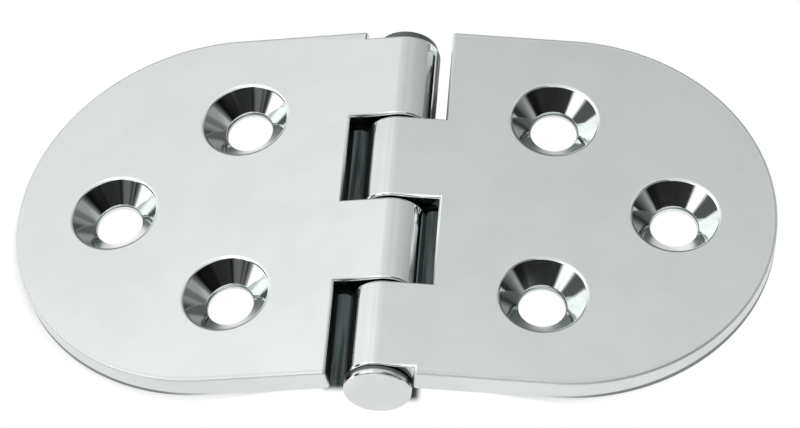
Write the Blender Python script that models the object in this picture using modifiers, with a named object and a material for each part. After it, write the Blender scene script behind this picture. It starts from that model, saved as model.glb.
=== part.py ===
"""Flush hinge with round-ended leaves, lying on a table as it comes to rest.

Two equal castings share one barrel of interleaved knuckles on a riveted pin. The knuckles
are flush with the tops of the leaves, so the barrel hangs below them, and each leaf slopes
down from the barrel to its round end. Sizes are in millimetres here and become metres as
the meshes are made. The pin lies along Y, the right leaf points to +X, and the barrel's
underside touches Z = 0.

A leaf is drawn in a frame of its own: the pin's axis is Y, the leaf points to +X, and its
flat top is one barrel radius above the axis.
"""

import math

import bmesh
import bpy
from mathutils import Matrix

MM = 0.001

# Leaves
LEAF_WIDTH = 50.0  # along the pin
LEAF_REACH = 45.0  # from the pin's axis to the round end
LEAF_THICKNESS = 3.0
TOP_EDGE_ROUND = 0.6  # polished edge round the top of a leaf
UNDER_EDGE_ROUND = 0.25  # edge round its underside

# Barrel
BARREL_DIAMETER = 8.0
KNUCKLES_PER_LEAF = 2
KNUCKLE_GAP = 0.6  # between neighbouring knuckles
KNUCKLE_EDGE_ROUND = 0.35
KNUCKLE_FILLET = 0.8  # where the underside of an arm runs into its knuckle
BARREL_RECESS = 1.0  # from a leaf's side edge in to the end of the barrel
SLOT_CLEARANCE = 1.35  # from a knuckle to the wall of the slot it turns in

# Screw holes, for countersunk screws of 5 mm
SCREW_HOLE_DIAMETER = 5.2
COUNTERSINK_DIAMETER = 10.4
COUNTERSINK_ANGLE = 90.0
NEAR_HOLE_SETBACK = 12.85  # from the slot's wall to the two holes beside the barrel
NEAR_HOLE_INSET = 12.3  # from a leaf's side edge to those holes
END_HOLE_INSET = 12.0  # from the round end to the single hole

# Pin
PIN_DIAMETER = 4.0
PIN_CLEARANCE = 0.08  # all round, in the bore
PIN_HEAD_GAP = 0.2  # from a head to the end of the barrel
PIN_HEAD_INSET = 0.05  # from the barrel's rim in to the made head's, in front
PIN_HEAD_THICKNESS = 1.1
PIN_HEAD_CHAMFER = 0.4
PIN_HEAD_CLEARANCE = 0.15  # from its rim to the side of the leaf beside it
RIVET_INSET = 0.4  # from the barrel's rim in to that of the head closed over it, behind
RIVET_RIM = 0.65  # height of the closed head's rim
RIVET_DOME = 0.45  # how far the closed head bulges from its rim

# How finely round shapes are divided
END_STEPS = 48  # round the end of a leaf
BARREL_STEPS = 48
HOLE_STEPS = 48
ROUND_STEPS = 3  # across a rounded edge
FILLET_STEPS = 4
DOME_STEPS = 5
CUTTER_OVERSHOOT = 1.0
ARM_ROOT = 2.0  # how deep an arm runs into its leaf
SHOULDER_ROOT = 1.0  # how deep the shoulder beside a pin head runs into its arm
SHARP_ANGLE = math.radians(60.0)  # edges over this are rounded
CREASE_ANGLE = math.radians(30.0)  # edges over this are shaded sharp
FLAT_ANGLE = math.radians(0.5)  # faces that meet within this are one flat
WELD_DISTANCE = 0.001 * MM
GRID = 0.0001 * MM

# Worked out from the sizes above
BARREL_RADIUS = BARREL_DIAMETER / 2.0
LEAF_TOP = BARREL_RADIUS
LEAF_UNDERSIDE = LEAF_TOP - LEAF_THICKNESS
SLOT_REACH = BARREL_RADIUS + SLOT_CLEARANCE
END_RADIUS = LEAF_WIDTH / 2.0
BARREL_LENGTH = LEAF_WIDTH - 2.0 * BARREL_RECESS
KNUCKLE_PITCH = BARREL_LENGTH / (2 * KNUCKLES_PER_LEAF)
BORE_RADIUS = PIN_DIAMETER / 2.0 + PIN_CLEARANCE
PIN_HEAD_RADIUS = BARREL_RADIUS - PIN_HEAD_INSET
SHOULDER_REACH = PIN_HEAD_RADIUS + PIN_HEAD_CLEARANCE
RIVET_RADIUS = BARREL_RADIUS - RIVET_INSET


def rest_tilt():
    """How far each leaf slopes down, in radians, with the barrel and both ends on the table."""
    end_x = LEAF_REACH - UNDER_EDGE_ROUND
    end_z = LEAF_UNDERSIDE + UNDER_EDGE_ROUND
    drop = BARREL_RADIUS - UNDER_EDGE_ROUND
    return math.asin(drop / math.hypot(end_x, end_z)) + math.atan2(end_z, end_x)


def clear_scene():
    """Remove whatever the scene holds."""
    for thing in list(bpy.data.objects):
        bpy.data.objects.remove(thing, do_unlink=True)


def new_collection(name):
    """Make a collection and link it into the scene."""
    collection = bpy.data.collections.new(name)
    bpy.context.scene.collection.children.link(collection)
    return collection


def polished_steel(name, colour, roughness):
    """Make a material for mirror-polished stainless steel."""
    material = bpy.data.materials.new(name)
    material.use_nodes = True
    shader = material.node_tree.nodes["Principled BSDF"]
    shader.inputs["Base Color"].default_value = (*colour, 1.0)
    shader.inputs["Metallic"].default_value = 1.0
    shader.inputs["Roughness"].default_value = roughness
    return material


def arc(centre, radius, start, end, steps):
    """Points along an arc, both ends included; the angles are in radians."""
    points = []
    for step in range(steps + 1):
        angle = start + (end - start) * step / steps
        points.append((centre[0] + radius * math.cos(angle), centre[1] + radius * math.sin(angle)))
    return points


def baked(thing, collection):
    """Replace an object by a plain mesh of what its modifiers or its curve make."""
    name = thing.name
    place = thing.matrix_world.copy()
    evaluated = thing.evaluated_get(bpy.context.evaluated_depsgraph_get())
    mesh = bpy.data.meshes.new_from_object(evaluated)
    bpy.data.objects.remove(thing, do_unlink=True)
    plain = bpy.data.objects.new(name, mesh)
    plain.matrix_world = place
    collection.objects.link(plain)
    return plain


def flat_plate(name, outline, low, high, collection):
    """Make a plate from a flat outline, with one face above it and one below."""
    curve = bpy.data.curves.new(name, "CURVE")
    curve.dimensions = "2D"
    curve.fill_mode = "BOTH"
    curve.extrude = (high - low) / 2.0 * MM
    spline = curve.splines.new("POLY")
    spline.points.add(len(outline) - 1)
    for point, (across, along) in zip(spline.points, outline):
        point.co = (across * MM, along * MM, 0.0, 1.0)
    spline.use_cyclic_u = True
    plate = bpy.data.objects.new(name, curve)
    collection.objects.link(plate)
    bpy.context.view_layer.update()
    plate = baked(plate, collection)
    cage = bmesh.new()
    cage.from_mesh(plate.data)
    bmesh.ops.translate(cage, verts=cage.verts, vec=(0.0, 0.0, (high + low) / 2.0 * MM))
    bmesh.ops.remove_doubles(cage, verts=cage.verts, dist=WELD_DISTANCE)
    bmesh.ops.dissolve_limit(cage, angle_limit=FLAT_ANGLE, verts=cage.verts, edges=cage.edges)
    bmesh.ops.recalc_face_normals(cage, faces=cage.faces)
    cage.to_mesh(plate.data)
    cage.free()
    return plate


def shade_round(mesh):
    """Shade a mesh smooth, with its sharper edges kept sharp."""
    mesh.shade_smooth()
    mesh.set_sharp_from_angle(angle=CREASE_ANGLE)


def round_edges(plate, size_of_edge):
    """Round a plate's sharp edges, each by the size in millimetres that size_of_edge gives it."""
    cage = bmesh.new()
    cage.from_mesh(plate.data)
    weights = cage.edges.layers.float.new("bevel_weight_edge")
    widest = max(TOP_EDGE_ROUND, UNDER_EDGE_ROUND, KNUCKLE_EDGE_ROUND)
    for edge in cage.edges:
        if edge.calc_face_angle() > SHARP_ANGLE:
            edge[weights] = size_of_edge(edge) / widest
    cage.to_mesh(plate.data)
    cage.free()
    rounding = plate.modifiers.new("rounding", "BEVEL")
    rounding.limit_method = "WEIGHT"
    rounding.width = widest * MM
    rounding.segments = ROUND_STEPS


def leaf_plate(collection):
    """Make the flat of a leaf, from the wall of its slots to its round end.

    Beside the first knuckle a shoulder runs on from the leaf's side edge to the pin's head.
    """
    end_centre = LEAF_REACH - END_RADIUS
    shoulder_end = SHOULDER_ROOT - BARREL_LENGTH / 2.0
    outline = [(SHOULDER_REACH, -END_RADIUS)]
    outline += arc((end_centre, 0.0), END_RADIUS, -math.pi / 2.0, math.pi / 2.0, END_STEPS)
    outline += [(SLOT_REACH, END_RADIUS), (SLOT_REACH, shoulder_end), (SHOULDER_REACH, shoulder_end)]
    plate = flat_plate("leaf_plate", outline, LEAF_UNDERSIDE, LEAF_TOP, collection)
    middle = (LEAF_TOP + LEAF_UNDERSIDE) / 2.0 * MM

    def size_of_edge(edge):
        first, last = (vertex.co for vertex in edge.verts)
        on_top = min(first.z, last.z) > middle
        under = max(first.z, last.z) < middle
        at_slot = max(first.x, last.x) < SLOT_REACH * MM + WELD_DISTANCE
        if under:
            return UNDER_EDGE_ROUND
        if on_top and not at_slot:
            return TOP_EDGE_ROUND
        return KNUCKLE_EDGE_ROUND

    round_edges(plate, size_of_edge)
    return baked(plate, collection)


def knuckle_section():
    """Outline of a knuckle and its arm, seen along the pin: across is X and up is Z."""
    root = SLOT_REACH + ARM_ROOT
    fillet_z = LEAF_UNDERSIDE - KNUCKLE_FILLET
    fillet_x = math.sqrt((BARREL_RADIUS + KNUCKLE_FILLET) ** 2 - fillet_z**2)
    fillet_angle = math.atan2(fillet_z, fillet_x)
    barrel_end = 2.0 * math.pi + fillet_angle
    section = [(root, LEAF_TOP)]
    section += arc((0.0, 0.0), BARREL_RADIUS, math.pi / 2.0, barrel_end, BARREL_STEPS)
    fillet = arc((fillet_x, fillet_z), KNUCKLE_FILLET, math.pi + fillet_angle, math.pi / 2.0, FILLET_STEPS)
    section += fillet[1:]
    section += [(root, LEAF_UNDERSIDE)]
    return section


def knuckle_span(place):
    """Where a leaf's knuckle starts and ends along the pin, counted from the barrel's front."""
    start = 2 * place * KNUCKLE_PITCH - BARREL_LENGTH / 2.0
    end = start + KNUCKLE_PITCH - KNUCKLE_GAP / 2.0
    if place > 0:
        start += KNUCKLE_GAP / 2.0
    return start, end


def knuckle(place, collection):
    """Make one knuckle with its arm."""
    start, end = knuckle_span(place)
    body = flat_plate(f"knuckle_{place}", knuckle_section(), 0.0, end - start, collection)

    def size_of_edge(edge):
        at_an_end = any(abs(face.normal.z) > 0.5 for face in edge.link_faces)
        return KNUCKLE_EDGE_ROUND if at_an_end else 0.0

    round_edges(body, size_of_edge)
    body = baked(body, collection)
    stand_up = Matrix.Rotation(math.pi / 2.0, 4, "X")
    body.data.transform(Matrix.Translation((0.0, end * MM, 0.0)) @ stand_up)
    return body


def turned(name, profile, collection):
    """Turn a profile of (radius, height) points, given from top to bottom, about the Z axis."""
    mesh = bpy.data.meshes.new(name)
    points = [(radius * MM, 0.0, height * MM) for radius, height in profile]
    mesh.from_pydata(points, [(place, place + 1) for place in range(len(points) - 1)], [])
    body = bpy.data.objects.new(name, mesh)
    collection.objects.link(body)
    lathe = body.modifiers.new("lathe", "SCREW")
    lathe.steps = HOLE_STEPS
    lathe.render_steps = HOLE_STEPS
    lathe.use_merge_vertices = True
    lathe.merge_threshold = WELD_DISTANCE
    bpy.context.view_layer.update()
    return baked(body, collection)


def screw_hole_cutter(across, along, collection):
    """Make the cutter of one countersunk screw hole, at a place on the leaf."""
    hole_radius = SCREW_HOLE_DIAMETER / 2.0
    rim_radius = COUNTERSINK_DIAMETER / 2.0
    slope = math.tan(math.radians(COUNTERSINK_ANGLE / 2.0))
    above = LEAF_TOP + CUTTER_OVERSHOOT
    cone_foot = LEAF_TOP - (rim_radius - hole_radius) / slope
    below = min(cone_foot, LEAF_UNDERSIDE) - CUTTER_OVERSHOOT
    profile = [
        (0.0, above),
        (rim_radius + CUTTER_OVERSHOOT * slope, above),
        (hole_radius, cone_foot),
        (hole_radius, below),
        (0.0, below),
    ]
    cutter = turned("screw_hole_cutter", profile, collection)
    cutter.location = (across * MM, along * MM, 0.0)
    return cutter


def screw_hole_places():
    """Where a leaf's three screw holes go, as (X, Y) in the leaf's frame."""
    near_x = SLOT_REACH + NEAR_HOLE_SETBACK
    side_y = LEAF_WIDTH / 2.0 - NEAR_HOLE_INSET
    return [(near_x, side_y), (near_x, -side_y), (LEAF_REACH - END_HOLE_INSET, 0.0)]


def bore_cutter(collection):
    """Make the cutter of the pin's bore, right through the barrel."""
    cage = bmesh.new()
    bmesh.ops.create_cone(
        cage,
        cap_ends=True,
        segments=HOLE_STEPS,
        radius1=BORE_RADIUS * MM,
        radius2=BORE_RADIUS * MM,
        depth=(LEAF_WIDTH + 2.0 * CUTTER_OVERSHOOT) * MM,
        matrix=Matrix.Rotation(math.pi / 2.0, 4, "X"),
    )
    mesh = bpy.data.meshes.new("bore_cutter")
    cage.to_mesh(mesh)
    cage.free()
    cutter = bpy.data.objects.new("bore_cutter", mesh)
    collection.objects.link(cutter)
    return cutter


def combine(body, other, operation):
    """Add a Boolean with another object to a body."""
    step = body.modifiers.new(other.name, "BOOLEAN")
    step.operation = operation
    step.solver = "EXACT"
    step.object = other


def snap(mesh):
    """Put a mesh's points on a fine grid, so that flats that should share a plane share it."""
    for vertex in mesh.vertices:
        vertex.co = [round(value / GRID) * GRID for value in vertex.co]


def weld(mesh):
    """Close up the hair-thin faces that Booleans leave where rounded edges meet."""
    cage = bmesh.new()
    cage.from_mesh(mesh)
    bmesh.ops.remove_doubles(cage, verts=cage.verts, dist=WELD_DISTANCE)
    bmesh.ops.dissolve_degenerate(cage, dist=WELD_DISTANCE, edges=cage.edges)
    cage.to_mesh(mesh)
    cage.free()


def leaf_casting(material, collection):
    """Make the mesh of one leaf: flat, knuckles, bore and screw holes, in the leaf's frame."""
    casting = leaf_plate(collection)
    knuckles = [knuckle(place, collection) for place in range(KNUCKLES_PER_LEAF)]
    cutters = [bore_cutter(collection)]
    cutters += [screw_hole_cutter(across, along, collection) for across, along in screw_hole_places()]
    for thing in [casting, *knuckles, *cutters]:
        snap(thing.data)
    for arm in knuckles:
        combine(casting, arm, "UNION")
    for cutter in cutters:
        combine(casting, cutter, "DIFFERENCE")
    bpy.context.view_layer.update()
    casting = baked(casting, collection)
    mesh = casting.data
    mesh.name = "leaf_casting"
    for thing in [*knuckles, *cutters, casting]:
        bpy.data.objects.remove(thing, do_unlink=True)
    weld(mesh)
    shade_round(mesh)
    mesh.materials.append(material)
    return mesh


def place_leaf(name, mesh, turn, collection):
    """Put a leaf on the pin's axis, turned about the upright and sloping down to its end."""
    leaf = bpy.data.objects.new(name, mesh)
    leaf.location = (0.0, 0.0, BARREL_RADIUS * MM)
    leaf.rotation_euler = (0.0, rest_tilt(), turn)
    collection.objects.link(leaf)


def rivet_dome(foot):
    """Profile of the rivet's dome, from its middle out to its rim at the height of its foot."""
    dome_radius = (RIVET_RADIUS**2 + RIVET_DOME**2) / (2.0 * RIVET_DOME)
    half_angle = math.asin(RIVET_RADIUS / dome_radius)
    centre = (0.0, foot + RIVET_DOME - dome_radius)
    upright = math.pi / 2.0
    return arc(centre, dome_radius, upright, upright - half_angle, DOME_STEPS)


def hinge_pin(material, collection):
    """Turn the pin, with its made head in front and its riveted head behind."""
    head_start = BARREL_LENGTH / 2.0 + PIN_HEAD_GAP
    head_face = head_start + PIN_HEAD_THICKNESS
    shank_radius = PIN_DIAMETER / 2.0
    profile = [
        *rivet_dome(head_start + RIVET_RIM),
        (RIVET_RADIUS, head_start),
        (shank_radius, head_start),
        (shank_radius, -head_start),
        (PIN_HEAD_RADIUS, -head_start),
        (PIN_HEAD_RADIUS, PIN_HEAD_CHAMFER - head_face),
        (PIN_HEAD_RADIUS - PIN_HEAD_CHAMFER, -head_face),
        (0.0, -head_face),
    ]
    pin = turned("hinge_pin", profile, collection)
    pin.data.transform(Matrix.Rotation(-math.pi / 2.0, 4, "X"))
    pin.location = (0.0, 0.0, BARREL_RADIUS * MM)
    shade_round(pin.data)
    pin.data.materials.append(material)


def main():
    """Build the hinge."""
    clear_scene()
    parts = new_collection("flush_hinge")
    blanks = new_collection("blanks_and_cutters")
    leaf_steel = polished_steel("leaf_steel", (0.80, 0.81, 0.80), 0.06)
    pin_steel = polished_steel("pin_steel", (0.76, 0.77, 0.77), 0.16)
    mesh = leaf_casting(leaf_steel, blanks)
    place_leaf("leaf_right", mesh, 0.0, parts)
    place_leaf("leaf_left", mesh, math.pi, parts)
    hinge_pin(pin_steel, parts)


main()
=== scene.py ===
"""Looks of a flush hinge with round-ended leaves, in mirror-polished stainless steel.

The hinge lies as a shallow tent on a pale table. Its two leaves are one casting, drawn here once
in a frame of its own and placed twice: the pin's axis is Y, the leaf points to +X, and its flat
top is one barrel radius above the axis. All lengths are in metres.
"""

from __future__ import annotations

import logging
import math
from dataclasses import dataclass, field
from enum import Enum
from typing import Any, Iterable, Optional, Union

import bmesh
import bpy
from bmesh.types import BMEdge, BMesh, BMVert
from mathutils import Matrix, Vector

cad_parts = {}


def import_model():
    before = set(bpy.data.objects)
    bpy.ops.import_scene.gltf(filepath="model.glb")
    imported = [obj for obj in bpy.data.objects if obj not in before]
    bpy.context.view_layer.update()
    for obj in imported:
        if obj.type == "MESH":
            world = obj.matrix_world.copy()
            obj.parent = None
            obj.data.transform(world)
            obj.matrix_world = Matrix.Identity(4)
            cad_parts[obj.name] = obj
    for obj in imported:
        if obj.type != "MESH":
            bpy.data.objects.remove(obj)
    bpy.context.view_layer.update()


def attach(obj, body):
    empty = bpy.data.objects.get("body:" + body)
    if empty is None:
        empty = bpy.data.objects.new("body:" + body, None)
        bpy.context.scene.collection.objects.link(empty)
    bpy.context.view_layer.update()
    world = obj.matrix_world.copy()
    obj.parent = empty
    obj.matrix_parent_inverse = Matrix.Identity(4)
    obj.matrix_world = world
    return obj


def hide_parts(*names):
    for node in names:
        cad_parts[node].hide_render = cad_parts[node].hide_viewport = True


LOG = logging.getLogger("flush_hinge")

MM = 0.001
UPRIGHT = Vector((0.0, 0.0, 1.0))
ALONG_PIN = Vector((0.0, 1.0, 0.0))
TINY = 0.001 * MM
PHOTO_WIDTH = 800
WHITE = (1.0, 1.0, 1.0)

Value = Union["Signal", float]
Parts = tuple["Signal", "Signal", "Signal"]
Triple = tuple[float, float, float]
Colour = Union["Signal", Triple]
Span = tuple[float, float]  # where a smooth rise is 0, and where it has reached 1


class Side(Enum):
    """The two leaves, named for where they lie."""

    LEFT = "left"
    RIGHT = "right"

    @property
    def node(self) -> str:
        """Name of the leaf's solid in the frame."""
        return f"leaf_{self.value}"

    @property
    def body(self) -> str:
        """Name of the body that the leaf rides on."""
        return f"{self.value}_leaf"

    @property
    def turn(self) -> float:
        """How far the casting is turned about the upright, in radians."""
        return math.pi if self is Side.LEFT else 0.0


# Shader maths


@dataclass(frozen=True)
class Signal:
    """A node's output socket, on which Python's operators add Math nodes.

    The socket is None for a node that has no outputs.
    """

    graph: "Graph"
    socket: Optional[bpy.types.NodeSocket]

    def _math(self, operation: str, *values: Value) -> "Signal":
        """Add a Math node.

        Args:
            operation: The Math node's operation.
            *values: Its inputs in order.

        Returns:
            The node's result.
        """
        return self.graph.node("ShaderNodeMath", {"operation": operation}, dict(enumerate(values)))

    def __add__(self, other: Value) -> "Signal":
        """Sum."""
        return self._math("ADD", self, other)

    def __radd__(self, other: Value) -> "Signal":
        """Sum, reflected."""
        return self._math("ADD", other, self)

    def __sub__(self, other: Value) -> "Signal":
        """Difference."""
        return self._math("SUBTRACT", self, other)

    def __rsub__(self, other: Value) -> "Signal":
        """Difference, reflected."""
        return self._math("SUBTRACT", other, self)

    def __mul__(self, other: Value) -> "Signal":
        """Product."""
        return self._math("MULTIPLY", self, other)

    def __rmul__(self, other: Value) -> "Signal":
        """Product, reflected."""
        return self._math("MULTIPLY", other, self)

    def __truediv__(self, other: Value) -> "Signal":
        """Quotient."""
        return self._math("DIVIDE", self, other)

    def __rtruediv__(self, other: Value) -> "Signal":
        """Quotient, reflected."""
        return self._math("DIVIDE", other, self)

    def __abs__(self) -> "Signal":
        """Size without sign."""
        return self._math("ABSOLUTE", self)

    def __neg__(self) -> "Signal":
        """Opposite."""
        return self._math("MULTIPLY", self, -1.0)

    def angle_from(self, other: Value) -> "Signal":
        """Angle whose tangent is this over the other, in radians."""
        return self._math("ARCTAN2", self, other)

    def at_least(self, other: Value) -> "Signal":
        """The larger of this and the other."""
        return self._math("MAXIMUM", self, other)

    def root(self) -> "Signal":
        """Square root."""
        return self._math("SQRT", self)

    def smooth(self, low: float, high: float) -> "Signal":
        """Rise smoothly from 0 at low to 1 at high.

        Args:
            low: Where the rise starts.
            high: Where it ends, which may be lower than low for a fall.

        Returns:
            A value between 0 and 1.
        """
        rising = low < high
        settings = {"interpolation_type": "SMOOTHSTEP"}
        ends = (low, high) if rising else (high, low)
        rise = self.graph.node(
            "ShaderNodeMapRange", settings, {"Value": self, "From Min": ends[0], "From Max": ends[1]}
        )
        return rise if rising else 1.0 - rise


class Graph:
    """Builds the nodes of one material or world."""

    def __init__(self, tree: bpy.types.NodeTree) -> None:
        """Start from an empty tree.

        Args:
            tree: The node tree to fill.
        """
        self.tree = tree
        tree.nodes.clear()

    def node(self, kind: str, settings: dict[str, Any], inputs: dict[Any, Any], output: Any = 0) -> Signal:
        """Add any node.

        Args:
            kind: The node's type.
            settings: Its properties, set first; a ramp's "stops" is a list of places and colours.
            inputs: Its sockets' values or links, by name or number.
            output: Name or number of the output that is wanted.

        Returns:
            That output.
        """
        made = self.tree.nodes.new(kind)
        for name, value in settings.items():
            if name == "stops":
                self._set_stops(made.color_ramp, value)
            else:
                setattr(made, name, value)
        for name, value in inputs.items():
            if isinstance(value, Signal):
                self.tree.links.new(value.socket, made.inputs[name])
            else:
                made.inputs[name].default_value = value
        return Signal(self, made.outputs[output] if made.outputs else None)

    @staticmethod
    def _set_stops(ramp: bpy.types.ColorRamp, stops: list[tuple[float, Any]]) -> None:
        """Give a colour ramp its stops.

        Args:
            ramp: The ramp.
            stops: Each stop's place, and its grey value or its colour.
        """
        while len(ramp.elements) < len(stops):
            ramp.elements.new(1.0)
        for element, (place, colour) in zip(ramp.elements, stops):
            element.position = place
            element.color = colour if isinstance(colour, tuple) else (colour, colour, colour, 1.0)

    def place(self) -> Signal:
        """Object coordinates."""
        return self.node("ShaderNodeTexCoord", {}, {}, "Object")

    def light_path(self, *kinds: str) -> Signal:
        """Tell which kinds of ray look at the surface.

        Args:
            *kinds: Names of the Light Path node's outputs.

        Returns:
            1 for a ray of any of these kinds, and 0 for the others.
        """
        chosen = self.node("ShaderNodeLightPath", {}, {}, kinds[0])
        for kind in kinds[1:]:
            chosen = chosen + self.node("ShaderNodeLightPath", {}, {}, kind)
        return chosen

    def from_middle(self, x: Signal, y: Signal, middle_x: float) -> Signal:
        """Measure how far a place is from the straight line between both leaves' round middles.

        Args:
            x: The place's X.
            y: Its Y.
            middle_x: Where the line ends, on either side.

        Returns:
            The distance, seen from above.
        """
        past = (abs(x) - middle_x).at_least(0.0)
        return (past * past + y * y).root()

    def split(self, vector: Signal) -> Parts:
        """Take a vector apart.

        Args:
            vector: The vector.

        Returns:
            Its X, Y and Z.
        """
        parts = self.node("ShaderNodeSeparateXYZ", {}, {"Vector": vector}).socket.node
        return tuple(Signal(self, parts.outputs[axis]) for axis in "XYZ")

    def noise(self, where: Signal, scale: float, detail: float = 2.0, roughness: float = 0.5) -> Signal:
        """Noise around 0.5.

        Args:
            where: Coordinates.
            scale: How many waves fit in a metre.
            detail: Octaves.
            roughness: How strong the finer octaves are.

        Returns:
            The noise's value.
        """
        inputs = {"Vector": where, "Scale": scale, "Detail": detail, "Roughness": roughness}
        return self.node("ShaderNodeTexNoise", {}, inputs, 0)

    def mix(self, factor: Signal, first: Colour, second: Colour) -> Signal:
        """Mix two colours.

        Args:
            factor: 0 for the first colour and 1 for the second.
            first: The first colour, written out or made by nodes.
            second: The second colour.

        Returns:
            The mixed colour.
        """
        ends = [colour if isinstance(colour, Signal) else (*colour, 1.0) for colour in (first, second)]
        inputs = {0: factor, 6: ends[0], 7: ends[1]}
        return self.node("ShaderNodeMix", {"data_type": "RGBA"}, inputs, 2)

    def stretched(self, where: Signal, factors: Triple) -> Signal:
        """Coordinates scaled by unequal factors, for streaks.

        Args:
            where: Coordinates.
            factors: Scale along X, Y and Z.

        Returns:
            The scaled coordinates.
        """
        return self.node("ShaderNodeMapping", {}, {"Vector": where, "Scale": factors})


# Finishes


@dataclass(frozen=True)
class PolishedSteel:
    """Stainless steel, buffed to a mirror, with the faint waves and hairlines that buffing leaves."""

    name: str
    colour: Triple = (0.78, 0.815, 0.81)
    dull_colour: Triple = (0.75, 0.785, 0.78)
    roughness: float = 0.05
    haze: float = 0.05
    even_haze: float = 0.4
    cloud_scale: float = 140.0
    cloud_detail: float = 3.0
    cloud_roughness: float = 0.55
    patch_rise: Span = (0.40, 0.62)
    patch_strength: float = 0.8
    wave_scale: float = 55.0
    wave_detail: float = 1.0
    wave_height: float = 0.006 * MM
    hairline_scale: float = 900.0
    hairline_squeeze: float = 0.06
    hairline_height: float = 0.00012 * MM
    raw_colour: Triple = (0.055, 0.062, 0.062)
    raw_roughness: float = 0.34

    def unbuffed(self, graph: Graph, where: Signal) -> Signal:
        """Find the places that the buffing wheel doesn't reach.

        Args:
            graph: The material's nodes.
            where: Object coordinates.

        Returns:
            1 where the steel is raw, and 0 where it shines.
        """
        raise NotImplementedError

    def satin(self, graph: Graph, where: Signal) -> Value:
        """Add roughness where the edges are only brushed.

        Args:
            graph: The material's nodes.
            where: Object coordinates.

        Returns:
            The roughness to add.
        """
        return 0.0

    def tinted(self, graph: Graph, where: Signal, colour: Signal) -> Signal:
        """Change the colour of some places.

        Args:
            graph: The material's nodes.
            where: Object coordinates.
            colour: The steel's colour.

        Returns:
            The colour, here unchanged.
        """
        return colour

    def material(self) -> bpy.types.Material:
        """Make the material.

        Returns:
            The finished material.
        """
        material = bpy.data.materials.new(self.name)
        material.use_nodes = True
        graph = Graph(material.node_tree)
        where = graph.place()
        clouds = graph.noise(where, self.cloud_scale, self.cloud_detail, self.cloud_roughness)
        patches = clouds.smooth(*self.patch_rise)
        lengthwise = graph.stretched(where, (1.0, self.hairline_squeeze, 1.0))
        streaks = graph.noise(lengthwise, self.hairline_scale)
        raw = self.unbuffed(graph, where)
        clouded = graph.mix(patches * self.patch_strength, self.colour, self.dull_colour)
        colour = graph.mix(raw, self.tinted(graph, where, clouded), self.raw_colour)
        hazy = patches * (self.even_haze + (1.0 - self.even_haze) * streaks)
        roughness = self.roughness + self.haze * hazy
        roughness = roughness + self.raw_roughness * raw + self.satin(graph, where)
        waves = graph.noise(where, self.wave_scale, self.wave_detail)
        height = self.wave_height * waves + self.hairline_height * streaks
        normal = graph.node("ShaderNodeBump", {}, {"Strength": 1.0, "Distance": 1.0, "Height": height})
        surface = graph.node(
            "ShaderNodeBsdfPrincipled",
            {},
            {"Base Color": colour, "Metallic": 1.0, "Roughness": roughness, "Normal": normal},
        )
        graph.node("ShaderNodeOutputMaterial", {}, {"Surface": surface})
        return material


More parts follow.
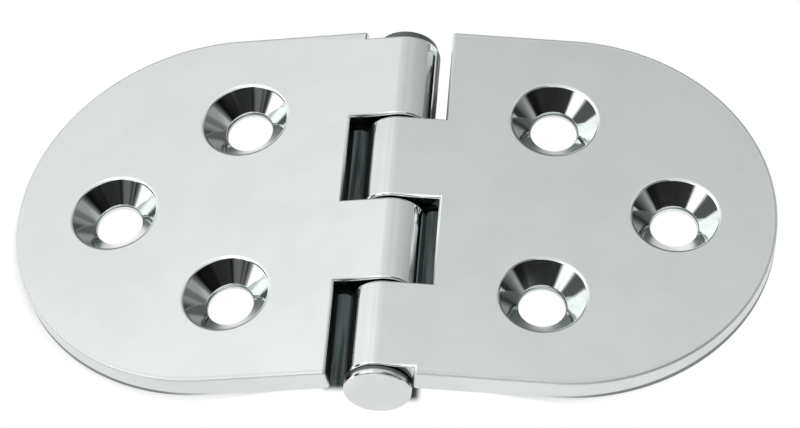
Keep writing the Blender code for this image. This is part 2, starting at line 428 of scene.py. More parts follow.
@dataclass(frozen=True)
class LeafSteel(PolishedSteel):
    """The leaves' steel: raw in the slots, brushed round the edge, and dark at its foot and in the holes.

    Places are those of the leaves as they lie, so the holes stand a little further from the pin's
    axis than in the leaf's own frame.
    """

    barrel_top: float = 8.0 * MM
    raw_below: Span = (1.10 * MM, 1.60 * MM)
    raw_above: Span = (2.6 * MM, 3.6 * MM)
    raw_beside: Span = (6.6 * MM, 6.0 * MM)
    raw_between: Span = (24.5 * MM, 24.1 * MM)
    right_side: Span = (-1.0 * MM, 1.0 * MM)
    right_side_extra: float = 1.2 * MM
    middle_x: float = 20.3 * MM
    edge: Span = (24.15 * MM, 24.65 * MM)
    edge_roughness: float = 0.40
    top_height: float = 8.025 * MM
    slope: float = 0.1123
    end_start: float = 24.0 * MM
    end_slope: float = 0.03
    foot_depth: Span = (2.30 * MM, 2.48 * MM)
    foot_beside: Span = (18.0 * MM, 26.0 * MM)
    foot_colour: Triple = (0.22, 0.24, 0.24)
    near_hole_x: float = 18.53 * MM
    near_hole_y: float = 12.7 * MM
    end_hole_x: float = 33.24 * MM
    hole_edge: Span = (5.25 * MM, 5.05 * MM)
    cut_side: Span = (1.0 * MM, 3.0 * MM)
    cut_turn: float = 0.5
    cut_colour: Triple = (0.40, 0.425, 0.42)

    def unbuffed(self, graph: Graph, where: Signal) -> Signal:
        """Find the slots' walls and the knuckles' flanks.

        Args:
            graph: The leaf material's nodes.
            where: Object coordinates.

        Returns:
            1 in the slots, and 0 elsewhere.
        """
        x, y, z = graph.split(where)
        depth = self.barrel_top - z - self.right_side_extra * x.smooth(*self.right_side)
        high_and_low = depth.smooth(*self.raw_below) * z.smooth(*self.raw_above)
        beside = abs(x).smooth(*self.raw_beside)
        between_ends = abs(y).smooth(*self.raw_between)
        return high_and_low * beside * between_ends

    def satin(self, graph: Graph, where: Signal) -> Value:
        """Add roughness on the leaves' outer edge, which is brushed and not buffed.

        Args:
            graph: The leaf material's nodes.
            where: Object coordinates.

        Returns:
            The roughness to add.
        """
        x, y, _ = graph.split(where)
        out = graph.from_middle(x, y, self.middle_x)
        return self.edge_roughness * out.smooth(*self.edge)

    def tinted(self, graph: Graph, where: Signal, colour: Signal) -> Signal:
        """Darken the foot of the round ends and the cut walls of the countersinks.

        Args:
            graph: The leaf material's nodes.
            where: Object coordinates.
            colour: The steel's colour.

        Returns:
            The colour with both in it.
        """
        x, y, z = graph.split(where)
        out = graph.from_middle(x, y, self.middle_x)
        extra = self.end_slope * (abs(x) - self.end_start).at_least(0.0)
        depth = self.top_height - self.slope * abs(x) - z + extra
        foot = depth.smooth(*self.foot_depth) * out.smooth(*self.edge) * abs(x).smooth(*self.foot_beside)
        walls: Value = 0.0
        for hole_x, hole_y in self.hole_places():
            across = x - hole_x
            along = y - hole_y
            inside = (across * across + along * along).root().smooth(*self.hole_edge)
            walls = walls + inside * (-across - self.cut_turn * along).smooth(*self.cut_side)
        return graph.mix(foot, graph.mix(walls, colour, self.cut_colour), self.foot_colour)

    def hole_places(self) -> list[tuple[float, float]]:
        """X and Y of the middles of all six countersinks."""
        places = [(self.near_hole_x, self.near_hole_y), (self.near_hole_x, -self.near_hole_y)]
        places.append((self.end_hole_x, 0.0))
        return [(side * x, y) for side in (-1.0, 1.0) for x, y in places]


@dataclass(frozen=True)
class PinSteel(PolishedSteel):
    """The pin's steel, which is buffed on the head in front only, and raw behind it."""

    colour: Triple = (0.77, 0.78, 0.78)
    dull_colour: Triple = (0.66, 0.67, 0.67)
    roughness: float = 0.13
    raw_colour: Triple = (0.16, 0.175, 0.175)
    behind_head: Span = (-24.75 * MM, -24.5 * MM)

    def unbuffed(self, graph: Graph, where: Signal) -> Signal:
        """Find all of the pin that is behind its head.

        Args:
            graph: The pin material's nodes.
            where: Object coordinates.

        Returns:
            1 on the shank and the riveted end, and 0 on the head.
        """
        _, y, _ = graph.split(where)
        return y.smooth(*self.behind_head)


@dataclass(frozen=True)
class WhiteTable:
    """A white table top, with the hinge's soft shadow on it, deepest beside the barrel."""

    name: str = "white_table"
    colour: Triple = (0.80, 0.80, 0.80)
    shadow_reach: float = 14.0 * MM
    shadow_colour: Triple = (0.16, 0.18, 0.18)
    deep_colour: Triple = (0.075, 0.092, 0.092)
    light_from: Triple = (0.40, -0.40, 0.82)
    samples: int = 16
    shadow_fade: Span = (0.18, 0.60)
    through_holes: float = 0.50
    holes_within: Span = (20.0 * MM, 18.0 * MM)
    holes_behind: Span = (4.0 * MM, 8.0 * MM)
    leaf_middle_x: float = 20.0 * MM
    shadow_end: float = 21.2 * MM
    shadow_end_slope: float = 0.084
    shadow_line: float = 0.7 * MM
    shadow_line_beside: Span = (10.0 * MM, 22.0 * MM)
    shadow_blur: float = 0.3 * MM
    right_side: Span = (-1.0 * MM, 1.0 * MM)
    deep_rear: Span = (20.5 * MM, 18.5 * MM)
    deep_rear_shift: float = 5.0 * MM
    deep_front: Span = (-22.6 * MM, -21.4 * MM)
    deep_front_shift: float = 1.5 * MM
    deep_beside: Span = (7.4 * MM, 6.5 * MM)
    deep_narrower: float = 2.7 * MM
    narrower_before: Span = (-12.0 * MM, -14.0 * MM)
    deep_openness: Span = (0.75, 0.50)
    streak_squeeze: float = 0.05
    streak_scale: float = 1100.0
    streak_detail: float = 3.0
    streak_roughness: float = 0.6
    streak_rise: Span = (0.35, 0.65)
    streak_level: float = 0.3

    def _lit(self, graph: Graph, where: Signal, openness: Signal) -> Signal:
        """Find where light falls on the table.

        Args:
            graph: The material's nodes.
            where: Object coordinates.
            openness: How much of the sky the table sees past the hinge, from 0 to 1.

        Returns:
            1 in full light, and 0 in the shadow's core.
        """
        x, y, _ = graph.split(where)
        out = graph.from_middle(x, y, self.leaf_middle_x)
        end = self.shadow_end + self.shadow_end_slope * abs(x)
        end = end + self.shadow_line * abs(x).smooth(*self.shadow_line_beside)
        outside = (out - end).smooth(-self.shadow_blur, self.shadow_blur)
        holes = out.smooth(*self.holes_within).at_least(y.smooth(*self.holes_behind))
        brighter = openness + self.through_holes * holes * graph.light_path("Is Camera Ray")
        return brighter.smooth(*self.shadow_fade).at_least(outside)

    def _by_barrel(self, graph: Graph, where: Signal, openness: Signal) -> Signal:
        """Find the deep shadow on both sides of the barrel.

        Args:
            graph: The material's nodes.
            where: Object coordinates.
            openness: How much of the sky the table sees past the hinge, from 0 to 1.

        Returns:
            1 in the deep shadow, and 0 elsewhere.
        """
        x, y, _ = graph.split(where)
        on_right = x.smooth(*self.right_side)
        rear = (y + self.deep_rear_shift * on_right).smooth(*self.deep_rear)
        front = (y + self.deep_front_shift * on_right).smooth(*self.deep_front)
        narrower = self.deep_narrower * on_right * y.smooth(*self.narrower_before)
        beside = (abs(x) + narrower).smooth(*self.deep_beside)
        return beside * rear * front * openness.smooth(*self.deep_openness)

    def _streaked(self, graph: Graph, where: Signal) -> Signal:
        """Colour of the deep shadow, streaked along the barrel.

        Args:
            graph: The material's nodes.
            where: Object coordinates.

        Returns:
            The colour.
        """
        lengthwise = graph.stretched(where, (1.0, self.streak_squeeze, 1.0))
        streaks = graph.noise(lengthwise, self.streak_scale, self.streak_detail, self.streak_roughness)
        darker = tuple(self.streak_level * part for part in self.deep_colour)
        return graph.mix(streaks.smooth(*self.streak_rise), self.deep_colour, darker)

    def material(self) -> bpy.types.Material:
        """Make the material.

        Returns:
            The finished material.
        """
        material = bpy.data.materials.new(self.name)
        material.use_nodes = True
        graph = Graph(material.node_tree)
        towards_light = graph.node("ShaderNodeCombineXYZ", {}, dict(enumerate(self.light_from)))
        openness = graph.node(
            "ShaderNodeAmbientOcclusion",
            {"samples": self.samples},
            {"Distance": self.shadow_reach, "Normal": towards_light},
            "AO",
        )
        where = graph.place()
        shaded = graph.mix(self._lit(graph, where, openness), self.shadow_colour, WHITE)
        shade = graph.mix(self._by_barrel(graph, where, openness), shaded, self._streaked(graph, where))
        plain = graph.node("ShaderNodeBsdfDiffuse", {}, {"Color": (*self.colour, 1.0)})
        glow = graph.node("ShaderNodeEmission", {}, {"Color": shade, "Strength": 1.0})
        seen = graph.light_path("Is Camera Ray", "Is Glossy Ray", "Is Transmission Ray")
        surface = graph.node("ShaderNodeMixShader", {}, {0: seen, 1: plain, 2: glow})
        graph.node("ShaderNodeOutputMaterial", {}, {"Surface": surface})
        return material


# Shaping


class Cage:
    """A mesh in the making, from outlines that are filled, extruded and spun."""

    def __init__(self) -> None:
        """Start with nothing."""
        self.mesh: BMesh = bmesh.new()

    def point(self, x: float, y: float, z: float) -> BMVert:
        """Add one point, in metres."""
        return self.mesh.verts.new((x, y, z))

    def line(self, points: Iterable[BMVert]) -> list[BMEdge]:
        """Join points by edges.

        Args:
            points: The points in order.

        Returns:
            The edges.
        """
        row = list(points)
        return [self.mesh.edges.new(pair) for pair in zip(row, row[1:])]

    def arc(
        self, start: BMVert, centre: Vector, axis: Vector, angle: float, steps: int
    ) -> tuple[list[BMEdge], BMVert]:
        """Sweep a point along an arc.

        Args:
            start: The point.
            centre: The arc's centre.
            axis: The direction it turns about.
            angle: How far, in radians.
            steps: How many edges the arc has.

        Returns:
            The edges, and the point at the far end.
        """
        known = set(self.mesh.edges)
        swept = bmesh.ops.spin(
            self.mesh, geom=[start], cent=centre, axis=axis, angle=angle, steps=steps, use_duplicate=False
        )
        last = next(item for item in swept["geom_last"] if isinstance(item, BMVert))
        return [edge for edge in self.mesh.edges if edge not in known], last

    def ring(self, centre: Vector, radius: float, steps: int, facing: Vector = UPRIGHT) -> list[BMEdge]:
        """Add a circle.

        Args:
            centre: Its centre.
            radius: Its radius.
            steps: How many edges it has.
            facing: The direction that it lies square to.

        Returns:
            Its edges.
        """
        turn = UPRIGHT.rotation_difference(facing).to_matrix().to_4x4()
        place = Matrix.Translation(centre) @ turn
        made = bmesh.ops.create_circle(
            self.mesh, cap_ends=False, segments=steps, radius=radius, matrix=place
        )
        return list({edge for point in made["verts"] for edge in point.link_edges})

    def extrude(
        self, edges: list[BMEdge], by: Vector, scale: float = 1.0, about: Vector = Vector()
    ) -> list[BMEdge]:
        """Extrude edges into a wall.

        Args:
            edges: The edges.
            by: How far and which way they go.
            scale: How much the far rim grows or shrinks.
            about: The middle that it grows or shrinks about.

        Returns:
            The edges of the far rim.
        """
        swept = bmesh.ops.extrude_edge_only(self.mesh, edges=edges)
        points = [item for item in swept["geom"] if isinstance(item, BMVert)]
        if scale != 1.0:
            middle = Matrix.Translation(-about)
            bmesh.ops.scale(self.mesh, verts=points, vec=(scale, scale, 1.0), space=middle)
        bmesh.ops.translate(self.mesh, verts=points, vec=by)
        new = set(points)
        rim = {edge for point in points for edge in point.link_edges if set(edge.verts) <= new}
        return list(rim)

    def fill(self, edges: list[BMEdge]) -> None:
        """Fill the flat between closed outlines, of which the inner ones are holes."""
        bmesh.ops.triangle_fill(self.mesh, edges=edges, use_beauty=True)

    def close(self) -> None:
        """Weld the pieces of the cage together and point all faces outwards."""
        bmesh.ops.remove_doubles(self.mesh, verts=self.mesh.verts, dist=TINY)
        bmesh.ops.recalc_face_normals(self.mesh, faces=self.mesh.faces)
        open_edges = sum(1 for edge in self.mesh.edges if len(edge.link_faces) != 2)
        if open_edges:
            raise ValueError(f"{open_edges} edges of a cage don't join two faces")

    def finish(self, name: str, material: bpy.types.Material) -> bpy.types.Object:
        """Make an object of the cage.

        Args:
            name: The object's name.
            material: Its material.

        Returns:
            The object, at the origin.
        """
        for face in self.mesh.faces:
            face.smooth = True
        data = bpy.data.meshes.new(name)
        self.mesh.to_mesh(data)
        self.mesh.free()
        data.materials.append(material)
        thing = bpy.data.objects.new(name, data)
        bpy.context.scene.collection.objects.link(thing)
        return thing


@dataclass(frozen=True)
class Barrel:
    """Sizes of the barrel of knuckles that both leaves and the pin share."""

    radius: float = 4.0 * MM
    length: float = 48.0 * MM
    gap: float = 0.3 * MM
    knuckles: int = 4
    bore_radius: float = 2.08 * MM
    steps: int = 96

    @property
    def pitch(self) -> float:
        """Length of barrel that one knuckle and its gap take."""
        return self.length / self.knuckles

    def span(self, place: int) -> tuple[float, float]:
        """Where a knuckle starts and ends along the pin.

        Args:
            place: The knuckle's number in the row, from 0 in front.

        Returns:
            Its start and its end.
        """
        start = place * self.pitch - self.length / 2.0
        end = start + self.pitch
        if place > 0:
            start += self.gap / 2.0
        if place < self.knuckles - 1:
            end -= self.gap / 2.0
        return start, end


@dataclass
class Leaf:
    """One leaf: a round-ended flat with two knuckles and three countersunk screw holes."""

    side: Side
    steel: bpy.types.Material
    barrel: Barrel = field(default_factory=Barrel)
    width: float = 50.0 * MM
    reach: float = 45.0 * MM
    thickness: float = 3.0 * MM
    slot_clearance: float = 1.35 * MM
    shoulder_reach: float = 4.1 * MM
    fillet: float = 0.8 * MM
    screw_hole_radius: float = 2.75 * MM
    countersink_radius: float = 5.2 * MM
    near_hole_x: float = 18.2 * MM
    near_hole_y: float = 12.7 * MM
    end_hole_x: float = 33.0 * MM
    end_steps: int = 128
    hole_steps: int = 96
    fillet_steps: int = 8
    round_steps: int = 6
    top_round: float = 0.42 * MM
    finger_round: float = 0.35 * MM
    corner_round: float = 0.35 * MM
    under_round: float = 0.25 * MM
    throat_round: float = 0.30 * MM
    rim_round: float = 0.24 * MM
    rounded_from: float = math.radians(40.0)
    sharp_from: float = math.radians(25.0)
    barrel_margin: float = 0.1 * MM
    bore_margin: float = 0.5 * MM
    front_place: int = 0
    rear_place: int = 2
    cage: Cage = field(default_factory=Cage)

    @property
    def top(self) -> float:
        """Height of the leaf's top over the pin's axis."""
        return self.barrel.radius

    @property
    def back(self) -> float:
        """Height of the leaf's back over the pin's axis."""
        return self.top - self.thickness

    @property
    def slot_reach(self) -> float:
        """From the pin's axis to the wall of the slots."""
        return self.barrel.radius + self.slot_clearance

    @property
    def fillet_x(self) -> float:
        """From the pin's axis to the fillet's middle, where the arm's flat back starts."""
        return math.sqrt((self.barrel.radius + self.fillet) ** 2 - (self.back - self.fillet) ** 2)

    @property
    def tilt(self) -> float:
        """How far the leaf slopes down, in radians, with the barrel and both ends on the table."""
        end_x = self.reach - self.under_round
        end_z = self.back + self.under_round
        drop = self.barrel.radius - self.under_round
        return math.asin(drop / math.hypot(end_x, end_z)) + math.atan2(end_z, end_x)

    def hole_places(self) -> list[Vector]:
        """Middles of the three countersinks, on the leaf's top."""
        places = [(self.near_hole_x, self.near_hole_y), (self.near_hole_x, -self.near_hole_y)]
        places.append((self.end_hole_x, 0.0))
        return [Vector((x, y, self.top)) for x, y in places]

    def _finger_end(self, y: float, corner_x: float) -> tuple[list[BMEdge], list[BMEdge]]:
        """Fill one end of a finger: the knuckle's round, its arm and the pin's bore.

        Args:
            y: Where the end is, along the pin.
            corner_x: How far out the arm's side shows.

        Returns:
            The edges round the knuckle, and the bore's rim.
        """
        cage = self.cage
        axis = -ALONG_PIN
        top = cage.point(0.0, y, self.top)
        dip = math.asin((self.fillet - self.back) / (self.barrel.radius + self.fillet))
        fillet_angle = -dip
        sweep = 1.5 * math.pi + fillet_angle
        round_edges, foot = cage.arc(top, Vector((0.0, y, 0.0)), axis, sweep, self.barrel.steps)
        hollow = Vector((self.fillet_x, y, self.back - self.fillet))
        turn = math.pi / 2.0 + fillet_angle
        fillet_edges, arm = cage.arc(foot, hollow, -axis, turn, self.fillet_steps)
        low = cage.point(corner_x, y, self.back)
        high = cage.point(corner_x, y, self.top)
        closing = cage.line([arm, low, high, top])
        bore = cage.ring(Vector((0.0, y, 0.0)), self.barrel.bore_radius, self.hole_steps, ALONG_PIN)
        chain = round_edges + fillet_edges
        cage.fill(chain + closing + bore)
        return chain, bore

    def _finger(self, place: int) -> None:
        """Shape one finger, from the barrel to the wall of the slots.

        Args:
            place: The knuckle's number in the row.
        """
        start, end = self.barrel.span(place)
        corner = self.shoulder_reach if place == self.front_place else self.slot_reach
        chain, bore = self._finger_end(start, corner)
        self._finger_end(end, self.slot_reach)
        along = Vector((0.0, end - start, 0.0))
        self.cage.extrude(chain, along)
        self.cage.extrude(bore, along)

    def _screw_hole(self, place: Vector) -> tuple[list[BMEdge], list[BMEdge]]:
        """Shape one countersunk screw hole.

        Args:
            place: Its middle, on the leaf's top.

        Returns:
            Its rim on the top and its rim on the back.
        """
        rim = self.cage.ring(place, self.countersink_radius, self.hole_steps)
        depth = self.countersink_radius - self.screw_hole_radius
        shrink = self.screw_hole_radius / self.countersink_radius
        foot = self.cage.extrude(rim, Vector((0.0, 0.0, -depth)), shrink, place)
        below = self.cage.extrude(foot, Vector((0.0, 0.0, depth - self.thickness)))
        return rim, below

    def _flat(self) -> None:
        """Shape the flat of the leaf, with its walls, its screw holes and its shoulder."""
        cage = self.cage
        half = self.width / 2.0
        straight = self.reach - half
        first_start, first_end = self.barrel.span(self.front_place)
        last_start, last_end = self.barrel.span(self.rear_place)
        corner = cage.point(self.shoulder_reach, first_start, self.top)
        front = cage.point(self.shoulder_reach, -half, self.top)
        turn_in = cage.point(straight, -half, self.top)
        wall = cage.line([corner, front, turn_in])
        middle = Vector((straight, 0.0, self.top))
        round_end, turn_out = cage.arc(turn_in, middle, UPRIGHT, math.pi, self.end_steps)
        rear = cage.point(self.slot_reach, half, self.top)
        inner = cage.point(self.slot_reach, last_end, self.top)
        wall += round_end + cage.line([turn_out, rear, inner])
        slot_start = cage.point(self.slot_reach, last_start, self.top)
        slot_end = cage.point(self.slot_reach, first_end, self.top)
        slot_wall = cage.line([slot_start, slot_end])
        down = Vector((0.0, 0.0, -self.thickness))
        lower_wall = cage.extrude(wall, down)
        lower_slot_wall = cage.extrude(slot_wall, down)
        holes = [self._screw_hole(place) for place in self.hole_places()]
        rims = [edge for rim, _ in holes for edge in rim]
        backs = [edge for _, below in holes for edge in below]
        bridge_top = self._outline_past_fingers(self.top, 0.0, wall, slot_wall)
        bridge_back = self._outline_past_fingers(self.back, self.fillet_x, lower_wall, lower_slot_wall)
        cage.fill(wall + slot_wall + bridge_top + rims)
        cage.fill(lower_wall + lower_slot_wall + bridge_back + backs)

    def _outline_past_fingers(
        self, height: float, reach: float, wall: list[BMEdge], slot_wall: list[BMEdge]
    ) -> list[BMEdge]:
        """Lead a flat's outline round both fingers.

        Args:
            height: The flat's height.
            reach: Where the flat ends over the fingers, from the pin's axis.
            wall: The outline's outer edges at this height.
            slot_wall: Its edge between the fingers.

        Returns:
            The edges that close the outline.
        """
        points = {point for edge in wall + slot_wall for point in edge.verts}
        first_start, first_end = self.barrel.span(self.front_place)
        last_start, last_end = self.barrel.span(self.rear_place)

        def nearest(x: float, y: float) -> BMVert:
            """Find the outline's point at a place."""
            spot = Vector((x, y, height))
            return min(points, key=lambda point: (point.co - spot).length)

        edges = []
        for start, end, corner in (
            (last_start, last_end, self.slot_reach),
            (first_start, first_end, self.shoulder_reach),
        ):
            near = self.cage.point(reach, start, height)
            far = self.cage.point(reach, end, height)
            inside = nearest(corner, start)
            edges += self.cage.line([inside, near, far, nearest(self.slot_reach, end)])
        return edges

    def _edge_round(self, edge: BMEdge) -> float:
        """How far an edge is rounded.

        Args:
            edge: One of the cage's edges.

        Returns:
            The rounding's width, or 0 for an edge that stays as it is.
        """
        if not edge.is_convex or edge.calc_face_angle() < self.rounded_from:
            return 0.0
        first, last = (point.co for point in edge.verts)
        on_top = min(first.z, last.z) > self.top - TINY
        on_back = abs(first.z - self.back) < TINY and abs(last.z - self.back) < TINY
        front = self.barrel.span(self.front_place)[0]
        outer_x = self.slot_reach + TINY
        for place in self.hole_places():
            far = max((point - place).xy.length for point in (first, last))
            if far < self.countersink_radius + TINY:
                return self.rim_round if on_top else (0.0 if on_back else self.throat_round)
        from_axis = max(math.hypot(first.x, first.z), math.hypot(last.x, last.z))
        if from_axis < self.barrel.radius - self.bore_margin:
            return 0.0
        if on_top:
            return self.finger_round if max(first.x, last.x) < outer_x else self.top_round
        if on_back:
            return self.under_round
        if abs(first.x - last.x) < TINY and abs(first.y - last.y) < TINY:
            return self.corner_round
        outside_barrel = min(first.x, last.x) > self.barrel.radius - self.barrel_margin
        if outside_barrel and min(first.z, last.z) < self.back:
            at_front = min(first.y, last.y) < front + TINY
            return 0.0 if at_front else self.under_round
        return self.finger_round

    def _mark_edges(self) -> None:
        """Give each edge its rounding, and keep the inner corners sharp."""
        weights = self.cage.mesh.edges.layers.float.new("bevel_weight_edge")
        for edge in self.cage.mesh.edges:
            size = self._edge_round(edge)
            edge[weights] = size / self.top_round
            if size == 0.0 and edge.calc_face_angle() > self.sharp_from:
                edge.smooth = False

    def build(self) -> bpy.types.Object:
        """Build the leaf and put it in its place.

        Returns:
            The leaf's object, which rides on its body.
        """
        self._flat()
        for place in (self.front_place, self.rear_place):
            self._finger(place)
        self.cage.close()
        self._mark_edges()
        place = Matrix.Translation((0.0, 0.0, self.barrel.radius))
        place = place @ Matrix.Rotation(self.side.turn, 4, "Z") @ Matrix.Rotation(self.tilt, 4, "Y")
        bmesh.ops.transform(self.cage.mesh, matrix=place, verts=self.cage.mesh.verts)
        leaf = self.cage.finish(f"{self.side.value}_leaf_casting", self.steel)
        rounding = leaf.modifiers.new("rounding", "BEVEL")
        rounding.limit_method = "WEIGHT"
        rounding.width = self.top_round
        rounding.segments = self.round_steps
        rounding.profile = 0.5
        rounding.use_clamp_overlap = False
        rounding.loop_slide = False
        flats = leaf.modifiers.new("flats", "WEIGHTED_NORMAL")
        flats.keep_sharp = True
        flats.weight = 50
        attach(leaf, self.side.body)
        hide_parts(self.side.node)
        return leaf


@dataclass
class Pin:
    """The pin through the barrel, with a made head in front and a riveted head behind."""

    steel: bpy.types.Material
    barrel: Barrel = field(default_factory=Barrel)
    shank_radius: float = 2.0 * MM
    head_gap: float = 0.2 * MM
    head_radius: float = 3.95 * MM
    head_thickness: float = 1.1 * MM
    head_round: float = 0.45 * MM
    rivet_radius: float = 3.6 * MM
    rivet_rim: float = 0.65 * MM
    rivet_dome: float = 0.45 * MM
    head_round_steps: int = 8
    dome_steps: int = 16
    steps: int = 128
    sharp_from: float = math.radians(40.0)
    cage: Cage = field(default_factory=Cage)

    def _profile(self) -> list[BMEdge]:
        """Draw half the pin's outline, from the middle of one head to the middle of the other."""
        cage = self.cage
        start = self.barrel.length / 2.0 + self.head_gap
        face = start + self.head_thickness
        side = Vector((1.0, 0.0, 0.0)).cross(ALONG_PIN)
        middle = cage.point(0.0, -face, 0.0)
        flat = cage.point(self.head_radius - self.head_round, -face, 0.0)
        bend = Vector((self.head_radius - self.head_round, self.head_round - face, 0.0))
        edges = cage.line([middle, flat])
        corner, rim = cage.arc(flat, bend, side, math.pi / 2.0, self.head_round_steps)
        edges += corner
        back = cage.point(self.head_radius, -start, 0.0)
        neck = cage.point(self.shank_radius, -start, 0.0)
        far_neck = cage.point(self.shank_radius, start, 0.0)
        rivet_foot = cage.point(self.rivet_radius, start, 0.0)
        rivet_edge = cage.point(self.rivet_radius, start + self.rivet_rim, 0.0)
        edges += cage.line([rim, back, neck, far_neck, rivet_foot, rivet_edge])
        dome_radius = (self.rivet_radius**2 + self.rivet_dome**2) / (2.0 * self.rivet_dome)
        dome_middle = Vector((0.0, start + self.rivet_rim + self.rivet_dome - dome_radius, 0.0))
        dome_angle = math.asin(self.rivet_radius / dome_radius)
        dome, _ = cage.arc(rivet_edge, dome_middle, side, dome_angle, self.dome_steps)
        return edges + dome

    def build(self) -> bpy.types.Object:
        """Build the pin and put it in its place.

        Returns:
            The pin's object, which rides on the left leaf.
        """
        edges = self._profile()
        points = list({point for edge in edges for point in edge.verts})
        bmesh.ops.spin(
            self.cage.mesh,
            geom=points + edges,
            cent=(0.0, 0.0, 0.0),
            axis=ALONG_PIN,
            angle=2.0 * math.pi,
            steps=self.steps,
            use_merge=True,
        )
        self.cage.close()
        for edge in self.cage.mesh.edges:
            edge.smooth = edge.calc_face_angle() < self.sharp_from
        up = Matrix.Translation((0.0, 0.0, self.barrel.radius))
        bmesh.ops.transform(self.cage.mesh, matrix=up, verts=self.cage.mesh.verts)
        pin = self.cage.finish("riveted_pin", self.steel)
        flats = pin.modifiers.new("flats", "WEIGHTED_NORMAL")
        flats.keep_sharp = True
        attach(pin, Side.LEFT.body)
        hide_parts("hinge_pin")
        return pin


# Studio


@dataclass(frozen=True)
class Rise:
    """A smooth rise from 0 to 1 over the directions that light comes from.

    It is measured along a sum of X, Y and Z, of which along holds the shares.
    """

    along: Triple
    low: float
    high: float

    def over(self, way: Parts) -> Signal:
        """Measure a direction.

        Args:
            way: The direction's X, Y and Z.

        Returns:
            A value between 0 and 1.
        """
        parts = [part if share == 1.0 else share * part for share, part in zip(self.along, way) if share]
        return sum(parts[1:], parts[0]).smooth(self.low, self.high)


def where_all(rises: Iterable[Rise], way: Parts) -> Signal:
    """Find where all of some rises have risen.

    Args:
        rises: The rises.
        way: The direction's X, Y and Z.

    Returns:
        Their product.
    """
    first, *others = [rise.over(way) for rise in rises]
    return math.prod(others, start=first)


@dataclass(frozen=True)
class Patch:
    """A patch of the light, lying where all its rises meet."""

    strength: float
    rises: tuple[Rise, ...]
    spared: tuple[Rise, ...] = ()

    def cover(self, way: Parts) -> Signal:
        """Find the patch.

        Args:
            way: The direction's X, Y and Z.

        Returns:
            The patch's strength inside it, and 0 outside it and where it is spared.
        """
        inside = where_all(self.rises, way)
        if self.spared:
            inside = inside * (1.0 - where_all(self.spared, way))
        return self.strength * inside


# Directions, as shares of X, Y and Z
RIGHT = (1.0, 0.0, 0.0)
BACK = (0.0, 1.0, 0.0)
UP = (0.0, 0.0, 1.0)
UP_AND_RIGHT = (0.25, 0.0, 1.0)
UP_AND_BACK = (0.0, 0.41, 1.0)

# Patches of the light, named for where they lie
NOT_IN_FRONT = Rise(BACK, -0.60, -0.45)
BRIGHT_OVERHEAD = Patch(0.35, (Rise(BACK, 0.46, 0.28), Rise(BACK, -0.75, -0.60), Rise(RIGHT, -0.08, -0.24)))
DIM_PATCHES = {
    "front": Patch(
        0.97,
        (
            Rise(BACK, -0.08, -0.30),
            Rise(UP, 0.80, 0.68),
            Rise(UP_AND_RIGHT, 0.37, 0.45),
            Rise(UP_AND_BACK, 0.14, 0.20),
            Rise(RIGHT, 0.97, 0.91),
        ),
        spared=(Rise(RIGHT, -0.42, -0.56), Rise(UP, 0.46, 0.60)),
    ),
    "low on the right": Patch(
        0.75, (Rise(UP, 0.36, 0.04), Rise(RIGHT, 0.10, 0.40), Rise(BACK, 0.58, 0.45), NOT_IN_FRONT)
    ),
    "left": Patch(0.93, (Rise(RIGHT, -0.74, -0.84), Rise(UP, 0.22, 0.32), Rise(BACK, 0.45, 0.30))),
    "above the right": Patch(
        0.65,
        (Rise(RIGHT, 0.25, 0.36), Rise(RIGHT, 0.80, 0.70), Rise(BACK, 0.30, 0.15), Rise(UP, 0.55, 0.68)),
    ),
    "right, a little behind": Patch(
        0.50,
        (Rise(RIGHT, 0.60, 0.72), Rise(BACK, 0.20, 0.30), Rise(BACK, 0.60, 0.50), Rise(UP, 0.55, 0.45)),
    ),
    "right, a little in front": Patch(
        0.60, (Rise(BACK, 0.00, -0.12), Rise(RIGHT, 0.60, 0.72), Rise(RIGHT, 0.97, 0.90), NOT_IN_FRONT)
    ),
    "low behind": Patch(0.65, (Rise(BACK, 0.66, 0.80), Rise(UP, 0.62, 0.45))),
    "low in front, on the left": Patch(
        0.75,
        (Rise(RIGHT, -0.60, -0.76), Rise(BACK, -0.22, -0.36), Rise(UP, 0.48, 0.38), Rise(UP, 0.12, 0.22)),
    ),
    "in front, left of the middle": Patch(
        0.88,
        (
            Rise(RIGHT, -0.20, -0.38),
            Rise(RIGHT, -0.86, -0.74),
            Rise(BACK, -0.42, -0.54),
            Rise(UP, 0.58, 0.53),
            Rise(UP, 0.30, 0.38),
        ),
    ),
}


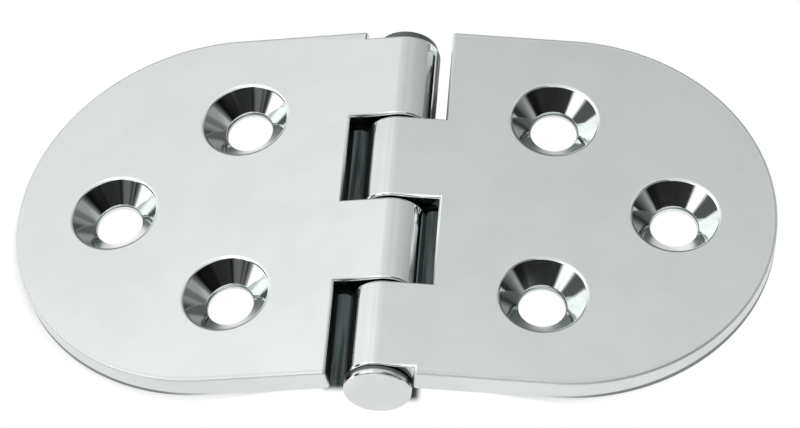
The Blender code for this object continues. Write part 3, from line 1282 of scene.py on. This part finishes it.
@dataclass
class Studio:
    """The white table and the soft light all round it, as polished steel mirrors them."""

    table: WhiteTable = field(default_factory=WhiteTable)
    table_half: float = 2.0
    behind_level: float = 0.832
    ahead_extra: float = 0.336
    ahead_rise: Span = (0.68, 0.50)
    lean_stops: tuple[tuple[float, float], ...] = (
        (-180.0, 0.90),
        (-100.0, 1.00),
        (-72.0, 0.95),
        (-56.0, 0.96),
        (-40.0, 1.01),
        (-26.5, 0.92),
        (-21.0, 1.00),
        (-14.0, 0.86),
        (4.0, 0.755),
        (10.0, 0.70),
        (20.0, 0.74),
        (31.0, 0.67),
        (41.0, 0.61),
        (63.0, 0.56),
        (78.0, 0.50),
        (95.0, 0.20),
        (130.0, 0.40),
        (180.0, 0.90),
    )

    def lay_table(self) -> bpy.types.Object:
        """Lay the table top, which isn't part of the hinge.

        Returns:
            The table's object.
        """
        cage = Cage()
        bmesh.ops.create_grid(cage.mesh, x_segments=1, y_segments=1, size=self.table_half)
        table = cage.finish("table_top", self.table.material())
        return table

    def light(self) -> bpy.types.World:
        """Light the hinge from all round, by how far to the side each direction leans.

        Returns:
            The world.
        """
        world = bpy.data.worlds.new("soft_studio")
        world.use_nodes = True
        bpy.context.scene.world = world
        graph = Graph(world.node_tree)
        way = graph.node("ShaderNodeTexCoord", {}, {}, "Generated")
        x, y, z = graph.split(way)
        lean = x.angle_from(z) / (2.0 * math.pi) + 0.5
        stops = [(degrees / 360.0 + 0.5, level) for degrees, level in self.lean_stops]
        round_about = graph.node("ShaderNodeValToRGB", {"stops": stops}, {"Fac": lean})
        ahead = self.behind_level + self.ahead_extra * y.smooth(*self.ahead_rise)
        soft = round_about * ahead + BRIGHT_OVERHEAD.cover((x, y, z))
        for patch in DIM_PATCHES.values():
            soft = soft * (1.0 - patch.cover((x, y, z)))
        seen = graph.light_path("Is Camera Ray")
        level = soft * (1.0 - seen) + seen
        background = graph.node("ShaderNodeBackground", {}, {"Color": level, "Strength": 1.0})
        graph.node("ShaderNodeOutputWorld", {}, {"Surface": background})
        return world


@dataclass
class PhotoCamera:
    """The camera, standing where the photograph was taken from."""

    turn: float = math.radians(11.2)
    rise: float = math.radians(53.0)
    roll: float = math.radians(-8.8)
    distance: float = 0.559
    focal_pixels: float = 4750.0
    sensor_width: float = 36.0
    aim: Vector = field(default_factory=lambda: Vector((0.0, 0.0, 4.0 * MM)))
    right_by: float = 0.81 * MM
    up_by: float = 0.18 * MM

    def place(self) -> bpy.types.Object:
        """Put the camera in its place and make it the scene's own.

        Returns:
            The camera's object.
        """
        level = math.cos(self.rise)
        back = Vector((math.sin(self.turn) * level, -math.cos(self.turn) * level, math.sin(self.rise)))
        flat_right = Vector((math.cos(self.turn), math.sin(self.turn), 0.0))
        flat_up = back.cross(flat_right)
        right = math.cos(self.roll) * flat_right + math.sin(self.roll) * flat_up
        up = math.cos(self.roll) * flat_up - math.sin(self.roll) * flat_right
        middle = self.aim + right * self.right_by + up * self.up_by + back * self.distance
        data = bpy.data.cameras.new("photo_camera")
        data.sensor_fit = "HORIZONTAL"
        data.sensor_width = self.sensor_width
        data.lens = self.focal_pixels * data.sensor_width / PHOTO_WIDTH
        data.dof.use_dof = False
        camera = bpy.data.objects.new("photo_camera", data)
        axes = Matrix((right, up, back)).transposed().to_4x4()
        camera.matrix_world = Matrix.Translation(middle) @ axes
        bpy.context.scene.collection.objects.link(camera)
        bpy.context.scene.camera = camera
        return camera


def main() -> None:
    """Build the hinge, its table, its light and its camera."""
    logging.basicConfig(level=logging.INFO, format="%(message)s")
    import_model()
    bpy.context.scene.view_settings.view_transform = "Standard"
    PhotoCamera().place()
    leaf_steel = LeafSteel("leaf_steel_polished").material()
    pin_steel = PinSteel("pin_steel_polished").material()
    pieces = [Leaf(side, leaf_steel).build() for side in Side]
    pieces.append(Pin(pin_steel).build())
    for piece in pieces:
        LOG.info("built %s with %d faces before rounding", piece.name, len(piece.data.polygons))
    studio = Studio()
    studio.lay_table()
    studio.light()
    LOG.info("laid the table and set the light")
    bpy.context.view_layer.update()


if __name__ == "__main__":
    main()
